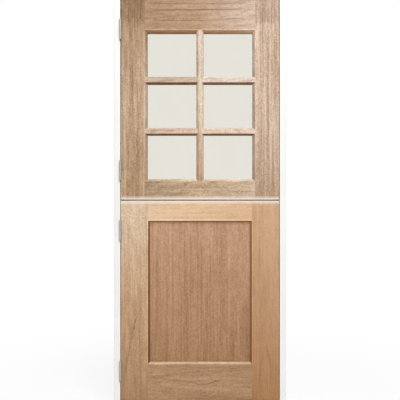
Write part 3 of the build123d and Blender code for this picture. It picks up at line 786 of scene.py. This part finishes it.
# Drawn lines, mostly of grain: from, to, half width, bow and strength, in metres from the board's middle
STREAKS = {
    "upper_top_rail": (
        ((-0.285, 0.033), (0.255, 0.038), 0.006, -0.001, 0.7),
        ((-0.26, -0.021), (0.11, -0.021), 0.0046, 0, 0.42),
        ((0.1, -0.023), (0.235, -0.012), 0.0044, 0.004, 0.44),
        ((-0.284, 0.067), (0.03, 0.064), 0.007, 0, 0.5),
        ((0, 0.062), (0.25, 0.067), 0.0066, 0.004, 0.5),
        ((0.205, 0.012), (0.268, 0.034), 0.004, 0.004, 0.4),
        ((0.213, -0.019), (0.233, -0.016), 0.0044, 0, 0.6),
        ((0.195, -0.053), (0.277, -0.045), 0.0038, 0.002, 0.36),
    ),
    "upper_hinge_stile": (
        ((-0.028, 0.372), (-0.028, 0.482), 0.006, 0, 0.4),
        ((0.002, 0.362), (0.001, 0.484), 0.006, 0, 0.44),
        ((0.033, 0.405), (0.032, 0.492), 0.005, 0, 0.34),
        ((0.013, -0.238), (0.016, -0.206), 0.0042, 0, 0.62),
        ((0.034, -0.262), (0.037, -0.232), 0.004, 0, 0.6),
        ((-0.01, 0.03), (0.006, 0.29), 0.005, 0.004, 0.26),
        ((-0.03, -0.4), (-0.018, -0.12), 0.005, 0.004, 0.26),
        ((0, 0.38), (0, 0.64), WHOLE_BOARD, 0, 0.27),
        ((0, -0.1), (0, -0.39), WHOLE_BOARD, 0, 0.08),
    ),
    "upright_glazing_bar": (
        ((-0.0085, -0.06), (-0.0085, -0.42), 0.004, 0, 0.5),
        ((-0.01, 0.42), (-0.01, 0), 0.003, 0, 0.2),
    ),
    "upper_latch_stile": (
        ((-0.019, 0.06), (-0.018, 0.515), 0.005, 0, 0.26),
        ((0.01, -0.08), (0.011, 0.515), 0.0044, 0, 0.27),
        ((0.03, -0.16), (0.028, 0.515), 0.005, 0, 0.32),
        ((0.044, 0.18), (0.042, 0.515), 0.0044, 0, 0.3),
        ((-0.026, -0.49), (-0.022, 0.1), 0.0046, 0, 0.25),
        ((0.014, -0.5), (0.012, -0.02), 0.0046, 0, 0.28),
        ((0.038, -0.5), (0.034, -0.12), 0.0048, 0, 0.3),
        ((0, 0.368), (0, 0.64), WHOLE_BOARD, 0, 0.4),
    ),
    "lower_hinge_stile": (
        ((0.031, -0.038), (0, -0.104), 0.004, 0, 0.36),
        ((0.001, -0.092), (-0.058, -0.42), 0.0046, -0.003, 0.4),
        ((0.031, -0.042), (0.046, -0.16), 0.0036, 0.004, 0.3),
        ((-0.034, -0.2), (-0.064, -0.47), 0.0036, -0.002, 0.24),
        ((0.002, -0.092), (-0.001, -0.118), 0.0042, 0, 0.8),
        ((-0.004, -0.128), (-0.007, -0.15), 0.0038, 0, 0.6),
    ),
    "bottom_rail": (
        ((-0.262, 0.022), (-0.15, 0.006), 0.0044, 0, 0.34),
        ((-0.17, 0.009), (-0.01, -0.013), 0.0044, 0.002, 0.42),
        ((-0.03, -0.013), (0.04, -0.017), 0.0044, 0, 0.46),
        ((0.034, -0.014), (0.096, 0.003), 0.0046, 0, 0.74),
        ((0.088, 0), (0.12, 0.014), 0.0034, 0, 0.4),
        ((0.06, -0.0225), (0.094, -0.0225), 0.004, 0, 0.5),
        ((-0.2, -0.04), (0.06, -0.052), 0.004, 0.004, 0.2),
    ),
    "lower_latch_stile": (
        ((-0.03, -0.47), (-0.004, -0.25), 0.005, 0.006, 0.18),
        ((0.036, -0.47), (0.01, -0.23), 0.005, -0.006, 0.18),
    ),
    "lower_panel": (
        ((0.224, -0.37), (0.227, -0.04), 0.024, 0, 0.2),
        ((-0.06, -0.34), (-0.058, 0.12), 0.012, 0.004, 0.14),
        ((0.12, -0.2), (0.118, 0.33), 0.012, 0.004, 0.12),
    ),
}

# How wide the painted highlight is beside each moulding; on the panel it lightens the shade under the
# moulding above it
ARRISES = {
    "upper_hinge_stile": 0.008,
    "upper_latch_stile": 0.018,
    "upper_top_rail": 0.012,
    "lower_hinge_stile": 0.008,
    "lower_latch_stile": 0.006,
    "lower_top_rail": 0.012,
    "lower_panel": 0.016,
}


# The pieces' finishes


class DOOR_OT_prime_frame(bpy.types.Operator):
    """Give the jambs, the head and the stops a coat of white primer"""

    bl_idname = "stable_door.prime_frame"
    bl_label = "Prime the frame"

    def execute(self, context):
        choices = context.scene.door_trim
        boards = {
            "hinge_jamb": UPRIGHT,
            "latch_jamb": UPRIGHT,
            "head_jamb": LEVEL,
            "hinge_side_stop": UPRIGHT,
            "latch_side_stop": UPRIGHT,
            "head_stop": LEVEL,
        }
        for seed, (node, turn) in enumerate(boards.items()):
            material, wires, shader = new_material(f"primer_{node}")
            board, _ = on_board(wires, middle_of(node), turn)
            plugs = {"Board": board, "Seed": float(seed), "Coat": opaque(choices.primer)}
            plug(wires, shader, wires.effect(brushed_primer, plugs), choices.brush_depth)
            give_finish(node, material)
        return {"FINISHED"}


class DOOR_OT_threshold(bpy.types.Operator):
    """Give the threshold its planed oak"""

    bl_idname = "stable_door.threshold"
    bl_label = "Finish the threshold"

    def execute(self, context):
        tone = context.scene.door_oak.threshold
        give_finish("threshold", oak_material("threshold", LEVEL, 31.0, tone, RIFT_CUT, FINE))
        return {"FINISHED"}


def finish_members(first_seed, members):
    """Gives each member its own board of oak, and each board its own seed."""
    for seed, (node, turn, tone, cut, contrast, inward, shade) in enumerate(members, first_seed):
        give_finish(node, oak_material(node, turn, float(seed), tone, cut, contrast, inward, shade))


class DOOR_OT_upper_leaf(bpy.types.Operator):
    """Give the upper leaf's stiles, rails and glazing bars their oak"""

    bl_idname = "stable_door.upper_leaf"
    bl_label = "Finish the upper leaf"

    def execute(self, context):
        oak = context.scene.door_oak
        upright_tone = tinted(oak.bars, UPRIGHT_BAR_TINT)
        # The last column is the painted shade on each member's moulding; above 1 it is a painted highlight on
        # a moulding that faces up
        members = [
            ("upper_hinge_stile", UPRIGHT, oak.upper_left, RIFT_CUT, MOTTLED, TO_RIGHT, (0.85, 0.86, 0.88)),
            ("upper_latch_stile", UPRIGHT, oak.upper_right, RIFT_CUT, RIBBONED, TO_LEFT, (0.84, 0.87, 0.92)),
            ("upper_top_rail", LEVEL, oak.upper_top, FLAT_CUT, PLAIN_RAIL, DOWN, (0.98, 0.8, 0.61)),
            ("upper_meeting_rail", LEVEL, oak.meeting, RIFT_CUT, LIVELY_RAIL, UP, (1.28, 1.4, 1.5)),
            ("upright_glazing_bar", UPRIGHT, upright_tone, BAR_CUT, BAR_GRAIN, None, WHITE),
        ]
        for place, tint in CROSS_BAR_TINTS.items():
            tone = tinted(oak.bars, tint)
            members.append((f"cross_bar_{place}", LEVEL, tone, BAR_CUT, BAR_GRAIN, DOWN, UNDERSIDE_SHADE))
        finish_members(1, members)
        return {"FINISHED"}


class DOOR_OT_lower_leaf(bpy.types.Operator):
    """Give the lower leaf's stiles, rails and panel their oak"""

    bl_idname = "stable_door.lower_leaf"
    bl_label = "Finish the lower leaf"

    def execute(self, context):
        oak = context.scene.door_oak
        # The last column is the painted shade on each member's moulding; above 1 it is a painted highlight on
        # a moulding that faces up
        members = [
            ("lower_hinge_stile", UPRIGHT, oak.lower_left, RIFT_CUT, CALM, TO_RIGHT, (0.34, 0.2, 0.085)),
            ("lower_latch_stile", UPRIGHT, oak.lower_right, QUARTER_CUT, CALMER, TO_LEFT, (0.62, 0.54, 0.43)),
            ("lower_top_rail", LEVEL, oak.lower_top, RIFT_CUT, CALMER, DOWN, (0.46, 0.35, 0.27)),
            ("bottom_rail", LEVEL, oak.lower_bottom, FLAT_CUT, CALM, UP, (1.53, 1.87, 2.33)),
            ("lower_panel", UPRIGHT, oak.panel, QUARTER_CUT, STRIPED, UP, WHITE),
        ]
        finish_members(11, members)
        return {"FINISHED"}


class DOOR_OT_beads(bpy.types.Operator):
    """Give the glazing beads their oak, with the grain along each bead"""

    bl_idname = "stable_door.beads"
    bl_label = "Finish the glazing beads"

    def execute(self, context):
        choices = context.scene.door_oak
        for seed, (row, column) in enumerate(panes(), 21):
            node = f"glazing_beads_{row}_{column}"
            low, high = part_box(node)
            material, wires, shader = new_material(f"oak_{node}")
            pane, spot = on_board(wires, middle_of(node), UPRIGHT)
            size = {"Pane": pane, "Half Width": (high.x - low.x) / 2, "Half Height": (high.z - low.z) / 2}
            plugs = oak_look(choices.bars, BAR_CUT, BAR_GRAIN)
            plugs["Board"] = wires.effect(mitred_beads, size)["Board"]
            plugs["Seed"] = float(seed)
            # Painted shade on the faces of the beads that look down
            plugs["Moulding"] = moulding(wires, node, pane, spot["Normal"], DOWN, BEAD_LEAD)
            plugs["Moulding Tone"] = opaque(UNDERSIDE_SHADE)
            plug(wires, shader, wires.effect(oak_board, plugs), choices.pore_depth)
            give_finish(node, material)
        return {"FINISHED"}


def panes():
    """The names of the six panes' rows and columns."""
    return [(row, column) for row in ("top", "middle", "bottom") for column in ("left", "right")]


class DOOR_OT_glass(bpy.types.Operator):
    """Give the six panes their clear glass, and the setting blocks their rubber"""

    bl_idname = "stable_door.glass"
    bl_label = "Finish the glass"

    def execute(self, context):
        choices = context.scene.door_trim
        material, wires, shader = new_material("clear_glass")
        spot = wires.add("ShaderNodeTexCoord").outputs["Object"]
        plug(wires, shader, wires.effect(glass_film, {"Pane": spot, "Glass": opaque(choices.glass)}))
        shader.inputs["Transmission Weight"].default_value = 1.0
        shader.inputs["IOR"].default_value = 1.5
        for row, column in panes():
            give_finish(f"glass_pane_{row}_{column}", material)
        give_finish("glass_setting_blocks", rubber_material("rubber_blocks", choices.rubber))
        give_finish("meeting_seal", rubber_material("rubber_seal", choices.seal))
        return {"FINISHED"}


def rubber_material(name, colour):
    """Matt rubber."""
    return speckled_material(name, (scaled(colour, 0.75), scaled(colour, 1.35)), (900, 900, 900), 0.0, 0.6)


def speckled_material(name, colours, stretch, seed, roughness):
    """A matt material that goes from one colour to another in fine specks."""
    material, wires, shader = new_material(name)
    first, second = colours
    spot = wires.add("ShaderNodeTexCoord").outputs["Object"]
    specks = wires.noise(spot, stretch, seed, 3.0)
    colour = wires.blend(specks, opaque(first), opaque(second))
    plug(wires, shader, {"Colour": colour, "Roughness": wires.times_plus(specks, 0.2, roughness)})
    return material


class DOOR_OT_hinges(bpy.types.Operator):
    """Give the hinges and their pins satin steel, and the dowels their beech"""

    bl_idname = "stable_door.hinges"
    bl_label = "Finish the hinges"

    def execute(self, context):
        choices = context.scene.door_trim
        material = steel_material("hinge_steel", choices.steel)
        for place in ("upper_top", "upper_bottom", "lower_top", "lower_bottom"):
            for piece in ("frame_plate", "leaf_plate", "pin"):
                give_finish(f"{place}_hinge_{piece}", material)
        shades = (choices.beech, scaled(choices.beech, 0.75))
        material = speckled_material("dowel_beech", shades, (60, 700, 700), 4.0, 0.5)
        for leaf in ("upper", "lower"):
            give_finish(f"{leaf}_leaf_dowels", material)
        return {"FINISHED"}


def steel_material(name, metal):
    """Satin steel."""
    material, wires, shader = new_material(name)
    spot = wires.add("ShaderNodeTexCoord").outputs["Object"]
    plug(wires, shader, wires.effect(satin_steel, {"Piece": spot, "Metal": opaque(metal)}), 0.00002)
    shader.inputs["Metallic"].default_value = 1.0
    return material


# Modelling of the screws

# The screws in one plate of a hinge, and their pitch
HINGE_SCREWS = 4
HINGE_SCREW_PITCH = 0.025

# The steps in a turn of the thread, and how much of a recess's width is left at its bottom
THREAD_STEPS = 14
RECESS_TAPER = 0.45

# Points nearer than this are one point, and edges sharper than this stay sharp
WELD = 1e-7
SMOOTH_ANGLE = math.radians(32)


def deselect_all():
    """Deselects every object."""
    bpy.ops.object.select_all(action="DESELECT")


def lathed(sides, rings):
    """A closed round form along Z, extruded ring by ring from a disc and brought to a point."""
    start, radius = rings[0]
    deselect_all()
    bpy.ops.mesh.primitive_circle_add(
        vertices=sides, radius=radius, fill_type="NGON", location=(0, 0, start)
    )
    bpy.ops.object.transform_apply(location=True, rotation=True, scale=True)
    form = bpy.context.object
    bpy.ops.object.mode_set(mode="EDIT")
    bpy.ops.mesh.select_all(action="SELECT")
    for place, next_radius in rings[1:]:
        bpy.ops.mesh.extrude_region_move(TRANSFORM_OT_translate={"value": (0, 0, place - start)})
        share = next_radius / radius
        bpy.ops.transform.resize(value=(share, share, 1.0))
        start, radius = place, next_radius
    bpy.ops.mesh.merge(type="CENTER")
    close_up()
    return form


def close_up():
    """Merges a mesh's doubles, turns its faces outwards and leaves edit mode."""
    bpy.ops.mesh.select_all(action="SELECT")
    bpy.ops.mesh.remove_doubles(threshold=WELD)
    bpy.ops.mesh.normals_make_consistent(inside=False)
    bpy.ops.object.mode_set(mode="OBJECT")


def pick_faces(form, fits):
    """Selects the faces that fit, and nothing else, in edit mode."""
    bpy.ops.object.mode_set(mode="EDIT")
    bpy.ops.mesh.select_mode(type="FACE")
    bpy.ops.mesh.select_all(action="DESELECT")
    bpy.ops.object.mode_set(mode="OBJECT")
    for face in form.data.polygons:
        face.select = fits(face)
    bpy.ops.object.mode_set(mode="EDIT")


def cross_bit(arm, width, depth):
    """The tapered cross that cuts a screw's recess, from in front of the head into it."""
    deselect_all()
    bpy.ops.mesh.primitive_cube_add(size=width, location=(0, 0, 0))
    bit = bpy.context.object
    for side in (Vector((1, 0, 0)), Vector((-1, 0, 0)), Vector((0, 1, 0)), Vector((0, -1, 0))):
        pick_faces(bit, lambda face: face.normal.dot(side) > 0.9)
        bpy.ops.mesh.extrude_region_move(TRANSFORM_OT_translate={"value": side * (arm - width) / 2})
        bpy.ops.object.mode_set(mode="OBJECT")
    pick_faces(bit, lambda face: True)
    bpy.ops.transform.resize(value=(1.0, 1.0, 2 * depth / width))
    pick_faces(bit, lambda face: face.normal.z > 0.9)
    bpy.ops.transform.resize(value=(RECESS_TAPER, RECESS_TAPER, 1.0))
    bpy.ops.object.mode_set(mode="OBJECT")
    return bit


def thread_coil(core, crest, pitch, start, turns):
    """The ridge of a screw's thread, wound round its core."""
    size = (crest - 0.85 * core) / 1.5
    upright = (math.pi / 2, math.pi / 2, 0)
    deselect_all()
    bpy.ops.mesh.primitive_circle_add(
        vertices=3, radius=size, location=(crest - size, 0, start), rotation=upright
    )
    bpy.ops.object.transform_apply(location=True, rotation=True, scale=True)
    coil = bpy.context.object
    bpy.ops.object.modifier_add(type="SCREW")
    winding = coil.modifiers[-1]
    winding.screw_offset = pitch
    winding.iterations = turns
    winding.steps = winding.render_steps = THREAD_STEPS
    bpy.ops.object.modifier_apply(modifier=winding.name)
    bpy.ops.object.mode_set(mode="EDIT")
    bpy.ops.mesh.select_all(action="SELECT")
    bpy.ops.mesh.remove_doubles(threshold=WELD)
    bpy.ops.mesh.fill_holes(sides=3)
    close_up()
    return coil


def select_only(first, others=()):
    """Selects these objects and nothing else, the first as the active one."""
    deselect_all()
    for form in (first, *others):
        form.select_set(True)
    bpy.context.view_layer.objects.active = first


def joined(first, others):
    """One object from several."""
    select_only(first, others)
    bpy.ops.object.join()
    return first


def wood_screw(head, shank, length, sides):
    """A countersunk wood screw with a cross recess, its head at the origin and its tip along Z."""
    rim, rim_height = 0.955 * head, 0.045 * head
    smooth, smooth_end = 0.97 * shank, 0.36 * length
    core, thread_end = 0.72 * shank, length - 3 * shank
    rings = [
        (0.0, rim),
        (rim_height, rim),
        (head - shank, smooth),
        (smooth_end, smooth),
        (smooth_end + shank / 2, core),
        (thread_end, core),
        (length, 0.08 * core),
    ]
    body = lathed(sides, rings)
    bit = cross_bit(1.15 * head, 0.26 * head, 0.5 * head)
    select_only(body)
    bpy.ops.object.modifier_add(type="BOOLEAN")
    cut = body.modifiers[-1]
    cut.operation = "DIFFERENCE"
    cut.solver = "EXACT"
    cut.object = bit
    bpy.ops.object.modifier_apply(modifier=cut.name)
    bpy.data.objects.remove(bit)
    pitch = 0.7 * shank
    start = smooth_end + shank
    turns = int((thread_end - start) / pitch)
    body = joined(body, [thread_coil(core, shank, pitch, start, turns)])
    bpy.ops.object.shade_smooth_by_angle(angle=SMOOTH_ANGLE)
    return body


def set_in(model, name, spots):
    """Copies of one screw, each with its head at a spot and its axis along a direction, as one piece."""
    copies = []
    for spot, direction in spots:
        copy = bpy.data.objects.new(name, model.data.copy())
        turn = Vector(direction).to_track_quat("Z", "Y").to_matrix().to_4x4()
        copy.data.transform(Matrix.Translation(spot) @ turn)
        bpy.context.scene.collection.objects.link(copy)
        copies.append(copy)
    return joined(copies[0], copies[1:])


class DOOR_OT_screws(bpy.types.Operator):
    """Model the countersunk screws of the hinges and of the frame's corners"""

    bl_idname = "stable_door.screws"
    bl_label = "Add the screws"

    def execute(self, context):
        sizes = context.scene.door_fixings
        steel = steel_material("screw_steel", context.scene.door_trim.steel)
        head = sizes.hinge_screw_head
        model = wood_screw(head, sizes.hinge_screw_shank, sizes.hinge_screw_length, sizes.sides)
        upper, lower = ("upper_top", "upper_bottom"), ("lower_top", "lower_bottom")
        for node, hinges, side, body in (
            ("frame_hinge_screws", upper + lower, -1, "frame"),
            ("upper_leaf_hinge_screws", upper, 1, "upper_leaf"),
            ("lower_leaf_hinge_screws", lower, 1, "lower_leaf"),
        ):
            spots = hinge_spots(node, hinges, side, head)
            piece = set_in(model, node.replace("screws", "threaded_screws"), spots)
            declare(piece, body, node, steel)
        bpy.data.objects.remove(model)
        head = sizes.corner_screw_head
        model = wood_screw(head, sizes.corner_screw_shank, sizes.corner_screw_length, sizes.sides)
        piece = set_in(model, "frame_corner_threaded_screws", corner_spots(head))
        declare(piece, "frame", "frame_corner_screws", steel)
        bpy.data.objects.remove(model)
        return {"FINISHED"}


def hinge_spots(node, hinges, side, head):
    """Places of the heads in the plates on one side, staggered in two columns."""
    low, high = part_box(node)
    face = low.x if side > 0 else high.x
    spots = []
    for hinge in hinges:
        middle = middle_of(f"{hinge}_hinge_pin")[2]
        for i in range(HINGE_SCREWS):
            y = high.y - head if i % 2 else low.y + head
            z = middle + (i - (HINGE_SCREWS - 1) / 2) * HINGE_SCREW_PITCH
            spots.append(((face, y, z), (side, 0, 0)))
    return spots


def corner_spots(head):
    """Places of the heads in the frame's corners: down into the jambs, and sideways into the threshold."""
    low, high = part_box("frame_corner_screws")
    spots = []
    for jamb, side in (("hinge_jamb", -1), ("latch_jamb", 1)):
        x = middle_of(jamb)[0]
        for y in (low.y + head, high.y - head):
            spots.append(((x, y, high.z), (0, 0, -1)))
            spots.append(((side * high.x, y, low.z + head), (-side, 0, 0)))
    return spots


def declare(piece, body, node, material):
    """Puts a piece on its body, in a CAD node's place."""
    piece.data.materials.clear()
    piece.data.materials.append(material)
    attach(piece, body)
    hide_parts(node)


# The studio

# Each light's place, what it is aimed at, and its width and height
LIGHTS = {
    "key": ((2.0, -6.0, 7.5), (0.0, 0.0, 1.0), (4.0, 3.0)),
    "top": ((0.1, -1.0, 3.9), (0.0, -0.05, 1.2), (1.6, 0.7)),
    "back": ((-1.2, 2.9, 2.7), (0.0, 0.0, 1.0), (1.8, 1.6)),
}

# The floor's colour, its radius and its gap under the door
FLOOR_PAPER = (0.95, 0.95, 0.95, 1)
FLOOR_RADIUS = 14.0
FLOOR_GAP = 0.0005

# How much of plain white the floor shows near the door, how far that reaches, and where it is all white
NEAR_WHITE = 0.84
NEAR_END = 0.7
WHITE_START = 2.4

# How far the camera stands from the leaves, and its sensor in millimetres
CAMERA_DISTANCE = 3.5
SENSOR_WIDTH = 36.0


class DOOR_OT_studio(bpy.types.Operator):
    """Set up the floor, the lights, the surroundings and the camera"""

    bl_idname = "stable_door.studio"
    bl_label = "Set up the studio"

    def execute(self, context):
        choices = context.scene.door_studio
        lay_floor()
        for name, (place, target, size) in LIGHTS.items():
            soft_light(f"{name}_light", place, target, size, getattr(choices, name))
        light_surroundings(context.scene, choices.around)
        set_camera(context.scene)
        context.scene.view_settings.view_transform = "Standard"
        return {"FINISHED"}


def looked_at(wires):
    """1 where the camera looks at the studio, also in metal and through glass, and 0 for other light."""
    path = wires.add("ShaderNodeLightPath").outputs
    seen = wires.maths("MAXIMUM", path["Is Camera Ray"], path["Is Glossy Ray"])
    return wires.maths("MAXIMUM", seen, path["Is Transmission Ray"])


def lay_floor():
    """The studio's floor, white to the camera further off and with a soft shadow near the door."""
    deselect_all()
    bpy.ops.mesh.primitive_circle_add(
        vertices=64, radius=FLOOR_RADIUS, fill_type="NGON", location=(0, 0, -FLOOR_GAP)
    )
    floor = bpy.context.object
    floor.name = "studio_floor"
    material, wires, shader = new_material("floor_paper")
    shader.inputs["Base Color"].default_value = FLOOR_PAPER
    shader.inputs["Roughness"].default_value = 0.9
    glow = wires.add("ShaderNodeEmission", {"Color": OPAQUE_WHITE, "Strength": 1.0}).outputs[0]
    away = wires.length(wires.add("ShaderNodeTexCoord").outputs["Object"])
    share = wires.times(looked_at(wires), wires.spread(away, NEAR_END, WHITE_START, NEAR_WHITE, 1.0))
    mixed = wires.add("ShaderNodeMixShader", {0: share, 1: shader.outputs[0], 2: glow}).outputs[0]
    output = next(node for node in wires.tree.nodes if node.type == "OUTPUT_MATERIAL")
    wires.tree.links.new(mixed, output.inputs["Surface"])
    floor.data.materials.append(material)


def soft_light(name, place, target, size, power):
    """A large soft light aimed at a point."""
    glow = bpy.data.lights.new(name, "AREA")
    glow.shape = "RECTANGLE"
    glow.size, glow.size_y = size
    glow.energy = power
    light = bpy.data.objects.new(name, glow)
    bpy.context.scene.collection.objects.link(light)
    light.location = place
    light.rotation_euler = (Vector(target) - Vector(place)).to_track_quat("-Z", "Y").to_euler()
    light.visible_camera = False
    light.visible_transmission = False


def light_surroundings(scene, strength):
    """An even light from all sides, seen by the camera, in metal and through glass as plain white."""
    world = bpy.data.worlds.new("studio_air")
    world.use_nodes = True
    scene.world = world
    wires = Wiring(world.node_tree)
    background = world.node_tree.nodes["Background"]
    background.inputs["Color"].default_value = OPAQUE_WHITE
    level = wires.times_plus(looked_at(wires), 1.0 - strength, strength)
    wires.tree.links.new(level, background.inputs["Strength"])


def set_camera(scene):
    """The camera straight in front of the leaves at mid-height, with their height filling its view."""
    low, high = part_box("lower_latch_stile")[0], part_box("upper_latch_stile")[1]
    lens = bpy.data.cameras.new("front_camera")
    lens.sensor_width = SENSOR_WIDTH
    lens.lens = SENSOR_WIDTH * CAMERA_DISTANCE / (high.z - low.z)
    camera = bpy.data.objects.new("front_camera", lens)
    scene.collection.objects.link(camera)
    camera.location = (0.0, low.y - CAMERA_DISTANCE, (low.z + high.z) / 2)
    camera.rotation_euler = (math.pi / 2, 0, 0)
    scene.camera = camera


# The add-on


class DOOR_PT_panel(bpy.types.Panel):
    """Everything that makes the door"""

    bl_idname = "DOOR_PT_panel"
    bl_label = "Stable door"
    bl_space_type = "VIEW_3D"
    bl_region_type = "UI"
    bl_category = "Stable door"

    def draw(self, context):
        for operator in OPERATORS:
            self.layout.operator(operator.bl_idname)
        for name, group in CHOICES.items():
            box = self.layout.box()
            settings = getattr(context.scene, name)
            for prop in group.__annotations__:
                box.prop(settings, prop)


CHOICES = {
    "door_oak": OakChoices,
    "door_trim": TrimChoices,
    "door_fixings": FixingChoices,
    "door_studio": StudioChoices,
}
OPERATORS = (
    DOOR_OT_prime_frame,
    DOOR_OT_threshold,
    DOOR_OT_upper_leaf,
    DOOR_OT_lower_leaf,
    DOOR_OT_beads,
    DOOR_OT_glass,
    DOOR_OT_hinges,
    DOOR_OT_screws,
    DOOR_OT_studio,
)


def register():
    for name, group in CHOICES.items():
        bpy.utils.register_class(group)
        setattr(bpy.types.Scene, name, PointerProperty(type=group))
    for item in (*OPERATORS, DOOR_PT_panel):
        bpy.utils.register_class(item)


def unregister():
    for item in (DOOR_PT_panel, *reversed(OPERATORS)):
        bpy.utils.unregister_class(item)
    for name, group in reversed(CHOICES.items()):
        delattr(bpy.types.Scene, name)
        bpy.utils.unregister_class(group)


def main():
    register()
    bpy.ops.stable_door.prime_frame()
    bpy.ops.stable_door.threshold()
    bpy.ops.stable_door.upper_leaf()
    bpy.ops.stable_door.lower_leaf()
    bpy.ops.stable_door.beads()
    bpy.ops.stable_door.glass()
    bpy.ops.stable_door.hinges()
    bpy.ops.stable_door.screws()
    bpy.ops.stable_door.studio()


if __name__ == "__main__":
    main()
